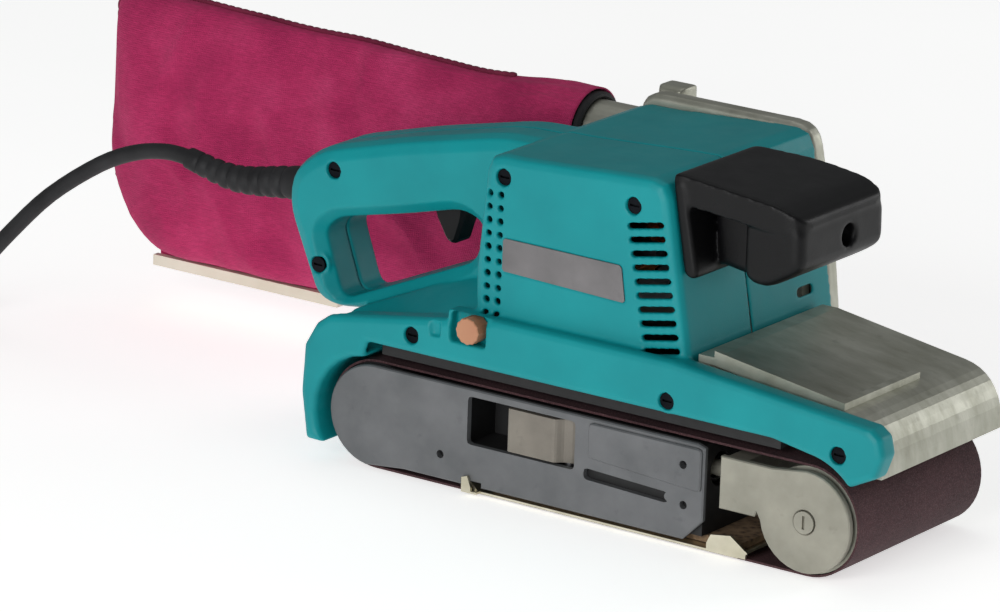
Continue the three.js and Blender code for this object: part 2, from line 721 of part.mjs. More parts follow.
function drivePieces() {
  const meshPhase = Math.PI + Math.PI / GEAR_TEETH;
  place('pinion', toothed(MOTOR, PINION_TEETH, 64.8, 72, GEAR_ANGLE), STEEL);
  place('drive_gear', joined(
    toothed(GEAR_AXIS, GEAR_TEETH, 65.2, 71.6, GEAR_ANGLE + meshPhase),
    rodY(GEAR_AXIS, 4, 58.6, 88, 24),
  ), STEEL);
  place('small_pulley', ringY(GEAR_AXIS, 4 + GAP, SMALL_PULLEY, 76, 86), STEEL);
  place('large_pulley', ringY(REAR, 6 + GAP, LARGE_PULLEY, 76, 86), STEEL);
  const outside = loop(GEAR_AXIS, SMALL_PULLEY + 3.3, REAR, LARGE_PULLEY + 3.3, 16);
  const inside = loop(GEAR_AXIS, SMALL_PULLEY + GAP, REAR, LARGE_PULLEY + GAP, 16);
  place('drive_belt', alongY(outside, 77, 85, { holes: [inside] }), BLACK);
}

// ---- Switch and cord ------------------------------------------------------------------------
function trigger() {
  const { x0, x1, half, low, high } = TRIGGER;
  const profile = rounded(
    [[x0, 108], [x0, high], [x1, high], [x1, 108], [x1 - 4, low], [x0 + 7, low + 1]],
    3,
  );
  return alongY(profile, -half, half, { bevel: 1.5 });
}

const CORD_EXIT = [-259, 0, 105.6];
const GUARD_ROUTE = [[-174, 0, 106.5], [-186, 0, 106.5], [-203, 0, 104.5], [-232, 0, 101], CORD_EXIT];
const CORD_ROUTE = [
  [-259.5, 0, 105.7], [-272, 0, 106.2], [-290, 0, 102.5], [-311, 0, 93], [-340, 0, 73], [-364, 0, 50],
  [-384, 1.5, 29], [-400, 4.5, 13], [-412, 8, 6], [-425, 12, 3.9],
];

const routeCurve = (route) => new THREE.CatmullRomCurve3(route.map((p) => new THREE.Vector3(...p)));

// A turned profile of [radius, distance] points laid along a route that stays in one upright plane.
function turnedAlong(profile, route, sides) {
  const curve = routeCurve(route);
  const length = curve.getLength();
  const geometry = new THREE.LatheGeometry(profile.map(([r, d]) => new THREE.Vector2(r, d)), sides);
  const position = geometry.attributes.position;
  for (let i = 0; i < position.count; i += 1) {
    const at = Math.min(1, Math.max(0, position.getY(i) / length));
    const tangent = curve.getTangentAt(at);
    const side = new THREE.Vector3(0, 1, 0);
    const up = new THREE.Vector3().crossVectors(tangent, side).normalize();
    const point = curve.getPointAt(at);
    point.addScaledVector(side, position.getX(i)).addScaledVector(up, position.getZ(i));
    position.setXYZ(i, point.x, point.y, point.z);
  }
  return solid(geometry);
}

function cordGuard() {
  const length = routeCurve(GUARD_ROUTE).getLength();
  const profile = [[0, 0], [9, 0], [9, 16]];
  for (let i = 0; i <= 12; i += 1) {
    profile.push([8.3 - (3 * i) / 12, 16 + ((length - 17) * i) / 12]);
  }
  profile.push([4.6, length], [0, length]);
  return turnedAlong(profile, GUARD_ROUTE, 16);
}

const cordTube = () => tube(routeCurve(CORD_ROUTE), CORD_RADIUS, 8, 22);

function cordCoil() {
  const section = rounded([
    [COIL_RADIUS - COIL_HALF_WIDTH, 0], [COIL_RADIUS + COIL_HALF_WIDTH, 0],
    [COIL_RADIUS + COIL_HALF_WIDTH, COIL_HEIGHT], [COIL_RADIUS - COIL_HALF_WIDTH, COIL_HEIGHT],
  ], 3, 2);
  const ring = turned(section, [0, 0], 28).getMesh();
  const geometry = new THREE.BufferGeometry();
  geometry.setAttribute('position', new THREE.BufferAttribute(ring.vertProperties, 3));
  geometry.setIndex(new THREE.BufferAttribute(ring.triVerts, 1));
  return geometry.rotateX(Math.PI / 2).translate(COIL_CENTRE[0], COIL_CENTRE[1], 0);
}

const PLUG = { x: COIL_CENTRE[0] - 48.5, y: COIL_CENTRE[1] - 40.5, z: 10 };

function plug() {
  const { x, y, z } = PLUG;
  const body = rounded(
    [[x - 13, y - 34], [x + 13, y - 34], [x + 12, y - 12], [x + 7, y], [x - 7, y], [x - 12, y - 12]],
    3,
  );
  const blades = [-6.35, 6.35].map((offset) => box(
    x + offset - 0.8, x + offset + 0.8, y - 51, y - 33, z - 3.2, z + 3.2));
  return joined(alongZ(body, 0, 2 * z, { bevel: 2 }), ...blades);
}

// ---- Assembly -----------------------------------------------------------------------------------
place('housing_right', housingRight(), TEAL);
place('housing_left', housingLeft(), TEAL);
place('label_plate', labelPlate(), [0x737373, 0.4, 0.3]);
place('main_frame', mainFrame(), CAST);
place('bearing_plate', bearingPlate(), CAST);
place('gear_housing', gearHousing(), CAST);
place('belt_cover', beltCover(), CAST);
place('front_cover', frontCover(), CAST);
place('front_grip', frontGrip(), BLACK);
place('grip_screw', gripScrew(), STEEL);
place('dust_nozzle', dustNozzle(), CAST);
place('bag_collar', bagCollar(), BLACK);
place('dust_bag', dustBag(), BERRY);
place('bag_rail', bagRail(), [0xe6e4de, 0.4, 0]);
place('cover_plate', coverPlate(), PLATE_GREY);
place('tension_lever', tensionLever(), LIGHT_GREY);
place('lever_pin', leverPin(), STEEL);
place('tension_spring', tensionSpring(), STEEL);
place('front_yoke', frontYoke(), LIGHT_GREY);
place('front_roller', frontRoller(), CAST);
place('front_axle', cut(
  rodY(FRONT, 5, PLATE_NEAR - 0.6, 53.8),
  box(FRONT[0] - 0.7, FRONT[0] + 0.7, PLATE_NEAR - 1, PLATE_NEAR + 0.6, FRONT[1] - 3, FRONT[1] + 3),
), STEEL);
place('rear_roller', rearRoller(), [0x26262a, 0.8, 0]);
place('rear_shaft', rodY(REAR, 6, -42, 87), STEEL);
place('front_bearing_near', ringY(FRONT, 5 + GAP, 9, -48.9, -44.3), STEEL);
place('front_bearing_far', ringY(FRONT, 5 + GAP, 9, 44.3, 48.9), STEEL);
place('rear_bearing_near', ringY(REAR, 5 + GAP, 11, -49.4, -43.4), STEEL);
place('rear_bearing_far', ringY(REAR, 6 + GAP, 11, 53.8, 59.4), STEEL);
place('sanding_belt', sandingBelt(), [0x4b2d32, 0.95, 0]);
place('shoe_plate', steelPlate(), [0xd8c9a0, 0.35, 0.8]);
place('cork_pad', box(-52, 78, -47, 49, 2.6, 5.9), [0xb08a5a, 0.95, 0]);
place('tracking_knob', trackingKnob(), [0xcd9169, 0.5, 0.2]);
motorPieces();
drivePieces();
place('switch_body', box(-130, -100, -12, 12, 121, 138, 1), BLACK);
place('trigger', trigger(), BLACK);
place('lock_button', rodY(LOCK_BUTTON, 4.5, 14, HANDLE_HALF + 2.5, 24), BLACK);
place('cord_guard', cordGuard(), BLACK);
place('cord', cordTube(), BLACK);
place('cord_coil', cordCoil(), BLACK);
place('plug', plug(), BLACK);
HOUSING_SCREWS.forEach(([x, z, face], i) => {
  place(`housing_screw_${i + 1}`, cut(
    rodY([x, z], SCREW_HEAD, face + SCREW_SUNK, face + SCREW_SUNK + SCREW_DEPTH, 20),
    box(x - 2.4, x + 2.4, face, face + SCREW_SUNK + 1, z - 0.5, z + 0.5),
  ), STEEL);
});

export default sander;
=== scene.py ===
import json
import math

import bmesh
import bpy
from mathutils import Matrix, Vector, noise


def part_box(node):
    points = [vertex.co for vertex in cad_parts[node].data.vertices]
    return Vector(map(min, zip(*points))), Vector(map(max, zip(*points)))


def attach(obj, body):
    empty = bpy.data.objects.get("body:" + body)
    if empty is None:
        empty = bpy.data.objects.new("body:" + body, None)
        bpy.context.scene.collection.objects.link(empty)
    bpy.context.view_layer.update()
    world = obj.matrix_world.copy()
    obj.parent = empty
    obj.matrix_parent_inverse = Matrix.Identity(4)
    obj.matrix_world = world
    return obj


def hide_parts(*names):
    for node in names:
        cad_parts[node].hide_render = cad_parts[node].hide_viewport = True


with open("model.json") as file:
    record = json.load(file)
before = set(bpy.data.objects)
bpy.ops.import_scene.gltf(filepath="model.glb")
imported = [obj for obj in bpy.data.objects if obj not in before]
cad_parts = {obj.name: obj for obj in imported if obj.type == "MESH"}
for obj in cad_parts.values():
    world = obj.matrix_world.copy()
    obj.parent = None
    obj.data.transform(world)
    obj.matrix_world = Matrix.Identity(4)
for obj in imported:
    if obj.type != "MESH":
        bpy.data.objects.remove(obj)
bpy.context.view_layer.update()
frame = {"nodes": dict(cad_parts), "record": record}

# Metres, in the part's own frame: +X to the front roller, +Y to the drive side, z = 0 the sanding face.
NODES = frame["nodes"]


# ---- Camera -----------------------------------------------------------------------
def make_camera():
    """The photo's view: from the front right, a little above, tipped by two degrees."""
    azimuth, elevation, roll = (math.radians(a) for a in (34.5, 16.56, 1.98))
    target = Vector((-0.08388, 0.0, 0.06958))
    distance = 2.89
    back = Vector((math.sin(azimuth) * math.cos(elevation), -math.cos(azimuth) * math.cos(elevation),
                   math.sin(elevation)))
    right = Vector((math.cos(azimuth), math.sin(azimuth), 0))
    up = back.cross(right)
    across = right * math.cos(roll) + up * math.sin(roll)
    over = up * math.cos(roll) - right * math.sin(roll)
    data = bpy.data.cameras.new("camera")
    data.sensor_width = 36
    data.lens = 234
    data.clip_end = 20
    camera = bpy.data.objects.new("camera", data)
    bpy.context.scene.collection.objects.link(camera)
    turn = Matrix((across, over, back)).transposed().to_4x4()
    camera.matrix_world = Matrix.Translation(target + back * distance) @ turn
    bpy.context.scene.camera = camera


make_camera()


# ---- Cord ----------------------------------------------------------------------------
CORD_DIAMETER = 0.0075
CORD_EXIT = (-0.259, 0.0, 0.1056)
CORD_ROUTE = [
    CORD_EXIT, (-0.272, 0.0, 0.1062), (-0.290, 0.0, 0.1025), (-0.311, 0.0, 0.093), (-0.340, 0.0, 0.073),
    (-0.364, 0.0, 0.050), (-0.384, 0.0015, 0.029), (-0.400, 0.0045, 0.013), (-0.412, 0.008, 0.006),
    (-0.425, 0.012, 0.0039),
]
COIL_CENTRE = (-0.440, -0.044)
COIL_RADIUS = 0.041
ARRIVAL_RADIUS = 0.058  # where the loose cord meets the coil
ARRIVAL_HEIGHT = 0.0039
ARRIVAL_ANGLE, FIRST_ANGLE = math.radians(75), math.radians(155)
POINTS_PER_TURN = 36
CLIMB_FROM, CLIMB_EARLIER, CLIMB_OVER = 270, 38, 80  # degrees round the coil
COIL_SLOTS = [(1, 0), (0, 0), (-1, 0), (-1, 1), (-1, 2), (0, 2), (0, 1), (1, 1), (1, 2)]  # column, layer
PLUG_FACE = (-0.4885, -0.0845, 0.010)


def ease(t):
    """A soft step from 0 to 1."""
    t = min(1.0, max(0.0, t))
    return 0.5 - 0.5 * math.cos(math.pi * t)


def coil_points():
    """The cord runs in to the coil, then turn by turn through the slots of a round bundle."""
    points = []
    steps = 10
    for i in range(1, steps + 1):
        inward = ease(i / steps)
        angle = ARRIVAL_ANGLE + (FIRST_ANGLE - ARRIVAL_ANGLE) * i / steps
        radius = ARRIVAL_RADIUS + (COIL_RADIUS + CORD_DIAMETER - ARRIVAL_RADIUS) * inward
        points.append((angle, radius, ARRIVAL_HEIGHT + (CORD_DIAMETER / 2 - ARRIVAL_HEIGHT) * inward))
    whole_turns = len(COIL_SLOTS) - 1
    for i in range(1, whole_turns * POINTS_PER_TURN + 3):
        turn, part = divmod(i, POINTS_PER_TURN)
        degrees = part * 360 / POINTS_PER_TURN
        column, layer = COIL_SLOTS[min(turn, whole_turns)]
        if turn < whole_turns:
            # each turn climbs to the next slot at its own place round the coil
            shift = ease((degrees - (CLIMB_FROM - CLIMB_EARLIER * turn)) / CLIMB_OVER)
            to_column, to_layer = COIL_SLOTS[turn + 1]
            column += (to_column - column) * shift
            layer += (to_layer - layer) * shift
        points.append((FIRST_ANGLE + math.radians(i * 360 / POINTS_PER_TURN),
                       COIL_RADIUS + column * CORD_DIAMETER, (layer + 0.5) * CORD_DIAMETER))
    return [(COIL_CENTRE[0] + r * math.cos(a), COIL_CENTRE[1] + r * math.sin(a), z) for a, r, z in points]


def catmull(points, steps):
    """A smooth line through the points, with so many steps between two of them."""
    made = []
    padded = [points[0], *points, points[-1]]
    for i in range(1, len(padded) - 2):
        a, b, c, d = (Vector(p) for p in padded[i - 1:i + 3])
        for k in range(steps):
            t = k / steps
            made.append(0.5 * (2 * b + (c - a) * t + (2 * a - 5 * b + 4 * c - d) * t * t
                               + (3 * b - a - 3 * c + d) * t ** 3))
    made.append(Vector(points[-1]))
    return made


def make_curve(name, points, radius):
    """A round cord along the points."""
    data = bpy.data.curves.new(name, "CURVE")
    data.dimensions = "3D"
    data.bevel_depth = radius
    data.bevel_resolution = 6
    data.use_fill_caps = True
    line = data.splines.new("POLY")
    line.points.add(len(points) - 1)
    for point, place in zip(line.points, points):
        point.co = (*place, 1)
    piece = bpy.data.objects.new(name, data)
    bpy.context.scene.collection.objects.link(piece)
    return piece


def cord_points():
    """The whole run: out of the sleeve, over the floor, round the coil and into the plug."""
    lead = [(-0.4885, -0.056, 0.0181), (-0.4885, -0.066, 0.0150), (-0.4885, -0.076, 0.0112), PLUG_FACE]
    return catmull(CORD_ROUTE, 4)[:-1] + catmull([CORD_ROUTE[-1], *coil_points(), *lead], 1)


# ---- Materials -----------------------------------------------------------------------------
def srgb(*shade):
    """A screen colour, 0 to 255, as the linear colour the shaders use."""
    return (*(c / 3294.6 if c <= 10 else ((c / 255 + 0.055) / 1.055) ** 2.4 for c in shade), 1)


class Look:
    """A material whose nodes are added one by one."""

    def __init__(self, name, roughness=0.5, metallic=0.0):
        self.material = bpy.data.materials.new(name)
        self.material.use_nodes = True
        self.nodes = self.material.node_tree.nodes
        self.links = self.material.node_tree.links
        self.shader = self.nodes["Principled BSDF"]
        self.shader.inputs["Roughness"].default_value = roughness
        self.shader.inputs["Metallic"].default_value = metallic
        self.coords = self.nodes.new("ShaderNodeTexCoord").outputs["Object"]
        self.normal = None

    def set(self, **values):
        for key, value in values.items():
            self.shader.inputs[key.replace("_", " ")].default_value = value
        return self

    def scaled(self, scale):
        mapping = self.nodes.new("ShaderNodeMapping")
        mapping.inputs["Scale"].default_value = scale
        self.links.new(self.coords, mapping.inputs["Vector"])
        return mapping.outputs["Vector"]

    def noise(self, scale, detail=3.0, stretch=(1, 1, 1), roughness=0.55):
        node = self.nodes.new("ShaderNodeTexNoise")
        node.inputs["Scale"].default_value = scale
        node.inputs["Detail"].default_value = detail
        node.inputs["Roughness"].default_value = roughness
        self.links.new(self.scaled(stretch), node.inputs["Vector"])
        return node.outputs["Fac"]

    def cells(self, scale):
        node = self.nodes.new("ShaderNodeTexVoronoi")
        node.inputs["Scale"].default_value = scale
        self.links.new(self.coords, node.inputs["Vector"])
        return node.outputs["Distance"]

    def wave(self, scale, direction, distortion=0.0):
        node = self.nodes.new("ShaderNodeTexWave")
        node.bands_direction = direction
        node.inputs["Scale"].default_value = scale
        node.inputs["Distortion"].default_value = distortion
        node.inputs["Detail"].default_value = 1
        self.links.new(self.coords, node.inputs["Vector"])
        return node.outputs["Fac"]

    def ramp(self, value, *stops):
        node = self.nodes.new("ShaderNodeValToRGB")
        elements = node.color_ramp.elements
        for i, (at, colour) in enumerate(stops):
            element = elements[i] if i < 2 else elements.new(at)
            element.position = at
            element.color = colour
        self.links.new(value, node.inputs["Fac"])
        return node.outputs["Color"]

    def math(self, kind, a, b):
        node = self.nodes.new("ShaderNodeMath")
        node.operation = kind
        for socket, value in zip(node.inputs, (a, b)):
            if hasattr(value, "is_linked"):
                self.links.new(value, socket)
            else:
                socket.default_value = value
        return node.outputs["Value"]

    def span(self, value, low, high):
        node = self.nodes.new("ShaderNodeMapRange")
        node.inputs["To Min"].default_value = low
        node.inputs["To Max"].default_value = high
        self.links.new(value, node.inputs["Value"])
        return node.outputs["Result"]

    def mixed(self, factor, a, b, blend="MIX"):
        node = self.nodes.new("ShaderNodeMix")
        node.data_type = "RGBA"
        node.blend_type = blend
        sockets = [s for s in node.inputs if s.enabled]
        for socket, value in zip(sockets, (factor, a, b)):
            if hasattr(value, "is_linked"):
                self.links.new(value, socket)
            else:
                socket.default_value = value
        return [s for s in node.outputs if s.enabled][0]

    def colour(self, value):
        self.links.new(value, self.shader.inputs["Base Color"])
        return self

    def rough(self, value):
        self.links.new(value, self.shader.inputs["Roughness"])
        return self

    def bump(self, height, distance, strength=1.0):
        node = self.nodes.new("ShaderNodeBump")
        node.inputs["Distance"].default_value = distance
        node.inputs["Strength"].default_value = strength
        self.links.new(height, node.inputs["Height"])
        if self.normal:
            self.links.new(self.normal, node.inputs["Normal"])
        self.normal = node.outputs["Normal"]
        self.links.new(self.normal, self.shader.inputs["Normal"])
        return self


def moulded(name, shade, light, roughness, grain=0.00006, specular=0.45):
    """Moulded plastic: a fine spark-eroded grain, soft blotches and faint rubbed spots."""
    look = Look(name, roughness)
    look.set(Specular_IOR_Level=specular)
    blotch = look.noise(22, 4)
    look.colour(look.ramp(blotch, (0.25, shade), (0.75, light)))
    look.rough(look.span(look.noise(70, 5), roughness - 0.09, roughness + 0.1))
    look.bump(look.noise(1500, 2), grain, 0.7)
    look.bump(look.noise(120, 3), grain * 1.5, 0.25)
    return look.material


def cast_metal(name, shade, light, roughness, stretch=(1, 1, 1), metallic=0.9):
    """Die-cast aluminium: cloudy tone, fine skin grain and a few darker stains."""
    look = Look(name, roughness, metallic)
    cloud = look.noise(40, 6, stretch)
    base = look.ramp(cloud, (0.3, shade), (0.7, light))
    stain = look.span(look.noise(130, 6), 0.0, 1.0)
    dark = tuple(c * 0.62 for c in shade[:3]) + (1,)
    look.colour(look.mixed(look.ramp(stain, (0.62, (0, 0, 0, 1)), (0.8, (0.5, 0.5, 0.5, 1))), base, dark))
    look.rough(look.span(look.noise(220, 4, stretch), roughness - 0.1, roughness + 0.14))
    look.bump(look.noise(900, 3), 0.00007, 0.6)
    look.bump(look.noise(2600, 1), 0.00003, 0.5)
    return look.material


def ground_steel(name, shade, light, roughness, stretch):
    """Turned or ground steel: fine lines along one direction, with a little tarnish."""
    look = Look(name, roughness, 1.0)
    look.colour(look.ramp(look.noise(60, 5), (0.3, shade), (0.75, light)))
    lines = look.noise(90, 2, stretch)
    look.rough(look.span(lines, roughness - 0.1, roughness + 0.15))
    look.bump(lines, 0.00004, 0.5)
    return look.material


def rubber(name, tone, roughness=0.62):
    look = Look(name, roughness)
    look.set(Specular_IOR_Level=0.35)
    dusty = tuple(min(1, c * 1.9 + 0.012) for c in tone[:3]) + (1,)
    look.colour(look.ramp(look.noise(45, 5), (0.35, tone), (0.8, dusty)))
    look.rough(look.span(look.noise(160, 4), roughness - 0.1, roughness + 0.12))
    look.bump(look.noise(1200, 2), 0.00005, 0.6)
    return look.material


def abrasive_cloth():
    """Resin-bonded grit: small bright and dark grains over a maroon-brown ground."""
    look = Look("abrasive", 0.85)
    grit = look.cells(1500)
    ground = look.ramp(look.noise(35, 5), (0.3, srgb(58, 30, 34)), (0.7, srgb(84, 50, 55)))
    grains = look.ramp(grit, (0.0, srgb(150, 118, 118)), (0.32, srgb(70, 40, 44)), (0.8, srgb(34, 18, 22)))
    look.colour(look.mixed(0.5, ground, grains))
    look.rough(look.span(look.noise(800, 2), 0.7, 0.98))
    look.bump(grit, 0.00022, 0.9)
    look.bump(look.noise(700, 3), 0.0001, 0.6)
    return look.material


def woven_cloth():
    """Plain-weave bag cloth: two sets of threads, a slub here and there, and a slight sheen."""
    look = Look("bag_cloth", 0.88)
    look.set(Sheen_Weight=0.25, Sheen_Roughness=0.5, Specular_IOR_Level=0.2)
    look.shader.inputs["Sheen Tint"].default_value = srgb(225, 120, 160)
    threads = look.math("ADD", look.wave(330, "X", 0.6), look.wave(330, "Z", 0.6))
    tone = look.noise(28, 6)
    base = look.ramp(tone, (0.25, srgb(158, 32, 82)), (0.5, srgb(182, 46, 96)), (0.78, srgb(202, 64, 114)))
    slub = look.ramp(look.noise(260, 3, (1, 1, 5)), (0.4, (0.72, 0.72, 0.72, 1)), (0.62, (1, 1, 1, 1)))
    look.colour(look.mixed(0.6, base, slub, "MULTIPLY"))
    look.bump(threads, 0.00016, 0.8)
    look.bump(look.noise(75, 5), 0.0009, 0.35)
    return look.material


def cork():
    look = Look("cork", 0.9)
    crumb = look.cells(330)
    shades = (0.05, srgb(52, 40, 30)), (0.35, srgb(112, 90, 68)), (0.8, srgb(138, 114, 88))
    look.colour(look.ramp(crumb, *shades))
    look.bump(crumb, 0.0003, 0.7)
    return look.material


TEAL = moulded("teal_plastic", srgb(0, 131, 137), srgb(6, 146, 151), 0.46, specular=0.28)
BLACK = moulded("black_plastic", srgb(6, 6, 7), srgb(13, 13, 15), 0.42, 0.00008, 0.22)
DARK = moulded("dark_plastic", srgb(30, 30, 33), srgb(46, 46, 50), 0.55)
WHITE = moulded("white_plastic", srgb(214, 206, 186), srgb(235, 229, 214), 0.45)
ORANGE = moulded("orange_plastic", srgb(168, 112, 80), srgb(190, 138, 106), 0.45)
LOOKS = {
    "teal_plastic": TEAL,
    "black_plastic": BLACK,
    "dark_plastic": DARK,
    "grey_plate": cast_metal("grey_plate", srgb(92, 94, 96), srgb(112, 113, 115), 0.5, metallic=0.3),
    "light_cast": cast_metal("light_cast", srgb(140, 138, 126), srgb(166, 163, 150), 0.5, metallic=0.4),
    "cast": cast_metal("cast", srgb(158, 158, 144), srgb(190, 190, 178), 0.46, (1, 2.5, 1)),
    # painted shade: the main frame is coloured near black because it shows only in slots and gaps, and its
    # dark colour stands in for the shade there
    "dark_cast": cast_metal("dark_cast", srgb(12, 12, 13), srgb(24, 24, 25), 0.6, metallic=0.0),
    "white_plastic": WHITE,
    "steel": ground_steel("steel", srgb(140, 141, 143), srgb(190, 191, 193), 0.3, (1, 30, 1)),
    "brassed_steel": ground_steel(
        "brassed_steel", srgb(196, 190, 168), srgb(236, 230, 210), 0.34, (1, 20, 1)),
    "copper": ground_steel("copper", srgb(150, 88, 48), srgb(196, 124, 76), 0.35, (1, 30, 1)),
    "berry_cloth": woven_cloth(),
    "abrasive": abrasive_cloth(),
    "cork": cork(),
    "rubber": rubber("rubber", srgb(20, 20, 22)),
    "knob_orange": ORANGE,
    "label_grey": cast_metal("label_grey", srgb(104, 102, 103), srgb(124, 121, 122), 0.42, metallic=0.3),
}
SEAM = rubber("seam_tape", srgb(96, 18, 46), 0.85)
OWN_LOOKS = {
    "tension_lever": cast_metal("lever_steel", srgb(112, 106, 98), srgb(136, 130, 120), 0.45, metallic=0.3),
    "front_axle": LOOKS["light_cast"],
}
SCREW = ground_steel("black_screw", srgb(16, 18, 22), srgb(34, 36, 40), 0.4, (1, 1, 1))
for number in range(1, 8):
    OWN_LOOKS[f"housing_screw_{number}"] = SCREW


def give(piece, material):
    piece.data.materials.clear()
    piece.data.materials.append(material)
    return piece


# ---- Finishing CAD nodes ----------------------------------------------------------------------
def smooth_by_angle(mesh, degrees):
    mesh.polygons.foreach_set("use_smooth", [True] * len(mesh.polygons))
    work = bmesh.new()
    work.from_mesh(mesh)
    limit = math.radians(degrees)
    for edge in work.edges:
        edge.smooth = len(edge.link_faces) == 2 and edge.calc_face_angle(0) < limit
    work.to_mesh(mesh)
    work.free()


def add_to_scene(name, mesh):
    piece = bpy.data.objects.new(name, mesh)
    bpy.context.scene.collection.objects.link(piece)
    return piece


def mesh_of_rings(name, rings, looped=False, open_start=False):
    """Faces from each ring of points to the next; ends are capped unless they join or stay open."""
    work = bmesh.new()
    made = [[work.verts.new(point) for point in ring] for ring in rings]
    around = len(made[0])
    pairs = list(zip(made, made[1:]))
    if looped:
        pairs.append((made[-1], made[0]))
    for a, b in pairs:
        for k in range(around):
            work.faces.new((a[k], b[k], b[(k + 1) % around], a[(k + 1) % around]))
    if not looped:
        work.faces.new(made[-1])
        if not open_start:
            work.faces.new(list(reversed(made[0])))
    bmesh.ops.recalc_face_normals(work, faces=work.faces)
    mesh = bpy.data.meshes.new(name)
    work.to_mesh(mesh)
    work.free()
    return mesh


def dressed(piece, material, body):
    """The piece with its material, riding on a body."""
    give(piece, material)
    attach(piece, body)
    return piece


def applied(piece):
    """The piece with its modifiers worked into its mesh."""
    graph = bpy.context.evaluated_depsgraph_get()
    mesh = bpy.data.meshes.new_from_object(piece.evaluated_get(graph))
    piece.modifiers.clear()
    piece.data = mesh
    return piece


def softened(node, rounds, material):
    """A moulded copy of a node: its sharp edges and facets worked into small radii."""
    piece = add_to_scene(node + "_moulded", NODES[node].data.copy())
    remesh = piece.modifiers.new("remesh", "REMESH")
    remesh.mode = "VOXEL"
    remesh.voxel_size = VOXEL
    blur = piece.modifiers.new("smooth", "SMOOTH")
    blur.factor = 0.5
    blur.iterations = rounds
    applied(piece)
    piece.data.polygons.foreach_set("use_smooth", [True] * len(piece.data.polygons))
    dressed(piece, material, "sander")
    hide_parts(node)


def finish_node(node):
    """A node that stays: smooth facets and a small bevel on its edges."""
    smooth_by_angle(node.data, 26)
    bevel = node.modifiers.new("bevel", "BEVEL")
    bevel.width = 0.0004
    bevel.segments = 2
    bevel.limit_method = "ANGLE"
    bevel.angle_limit = math.radians(40)
    bevel.harden_normals = True


SLOTS = {entry["node"]: entry["material_slot"] for entry in frame["record"]["subparts"]}
REBUILT = ("dust_bag", "cord", "cord_coil", "cord_guard")
VOXEL = 0.0008
# how many rounds of smoothing each moulded or cast piece gets
SOFTENED = {
    "housing_right": 5, "housing_left": 5, "front_grip": 14,
    "gear_housing": 5, "dust_nozzle": 4, "belt_cover": 5,
}
for name, node in NODES.items():
    give(node, OWN_LOOKS.get(name) or LOOKS[SLOTS[name]])
    if name not in SOFTENED and name not in REBUILT:
        finish_node(node)
for name, rounds in SOFTENED.items():
    softened(name, rounds, LOOKS[SLOTS[name]])


# ---- Cord, guard and plug ------------------------------------------------------------------------
def tube_rings(points, radii, sides):
    """Rings of changing radius along points that stay in one upright plane."""
    rings = []
    side = Vector((0, 1, 0))
    for i, (point, radius) in enumerate(zip(points, radii)):
        ahead = points[min(i + 1, len(points) - 1)] - points[max(i - 1, 0)]
        up = ahead.normalized().cross(side).normalized()
        rings.append([point + radius * (side * math.cos(a) + up * math.sin(a))
                      for a in (2 * math.pi * k / sides for k in range(sides))])
    return rings


def make_tube(name, points, radii, sides, sharp):
    mesh = mesh_of_rings(name, tube_rings(points, radii, sides))
    smooth_by_angle(mesh, sharp)
    return add_to_scene(name, mesh)


def travelled(points):
    """How far along the line each point lies."""
    runs = [0.0]
    for a, b in zip(points, points[1:]):
        runs.append(runs[-1] + (b - a).length)
    return runs


SLEEVE_ROUTE = [
    (-0.174, 0, 0.1065), (-0.186, 0, 0.1065), (-0.203, 0, 0.1045), (-0.232, 0, 0.101), CORD_EXIT,
]
SLEEVE_ROOT = 0.016  # the plain length that sits in the handle
SLEEVE_ROOT_RADIUS = 0.0088
SLEEVE_RADIUS, SLEEVE_TAPER = 0.0082, 0.0032
SLEEVE_GROOVES, GROOVE_DEPTH = 11, 0.0011


def make_guard():
    """The rubber sleeve: a thick root, then a taper with grooves that let it bend."""
    points = catmull(SLEEVE_ROUTE, 24)
    runs = travelled(points)
    radii = []
    for run in runs:
        if run < SLEEVE_ROOT:
            radii.append(SLEEVE_ROOT_RADIUS)
            continue
        along = (run - SLEEVE_ROOT) / (runs[-1] - SLEEVE_ROOT)
        groove = 0.5 + 0.5 * math.cos(2 * math.pi * along * SLEEVE_GROOVES)
        depth = GROOVE_DEPTH if 0.12 < along < 0.9 else 0.0
        radii.append(SLEEVE_RADIUS - SLEEVE_TAPER * along - depth * (groove ** 3))
    guard = make_tube("cord_sleeve", points, radii, 32, 40)
    dressed(guard, LOOKS["rubber"], "sander")
    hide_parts("cord_guard")
    return guard


def make_tie():
    """A flat band round one place of the coil."""
    angle = math.radians(20)
    half_wide, half_thick = 0.0032, 0.0004
    out = Vector((math.cos(angle), math.sin(angle), 0))
    along = Vector((-math.sin(angle), math.cos(angle), 0))
    centre = Vector((*COIL_CENTRE, 1.5 * CORD_DIAMETER)) + out * COIL_RADIUS
    reach, turn = 1.5 * CORD_DIAMETER + 0.0006, 0.0032
    outline = []
    for corner, (a, b) in enumerate(((1, 1), (-1, 1), (-1, -1), (1, -1))):
        for i in range(7):
            bend = math.radians(90 * corner + 15 * i)
            outline.append((a * (reach - turn) + turn * math.cos(bend),
                            b * (reach - turn) + turn * math.sin(bend)))
    rings = []
    for across, up in outline:
        point = centre + out * across + Vector((0, 0, up))
        face = (out * across + Vector((0, 0, up))).normalized()
        point.z = max(point.z, 0.0005)
        rings.append([point + along * (half_wide * w) + face * (half_thick * h)
                      for w, h in ((-1, -1), (-1, 1), (1, 1), (1, -1))])
    mesh = mesh_of_rings("cord_tie", rings, looped=True)
    smooth_by_angle(mesh, 40)
    return dressed(add_to_scene("cord_tie", mesh), LOOKS["black_plastic"], "sander")


guard = make_guard()
tie = make_tie()
points = cord_points()
cord = make_curve("mains_cord", points, CORD_DIAMETER / 2)
dressed(cord, LOOKS["rubber"], "sander")
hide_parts("cord", "cord_coil")


# ---- Dust bag --------------------------------------------------------------------------------------
NECK = (0.088, 0.1305)  # y, z of the bag's neck
NECK_RADIUS = 0.0202
MIDDLE_Y = 0.0915
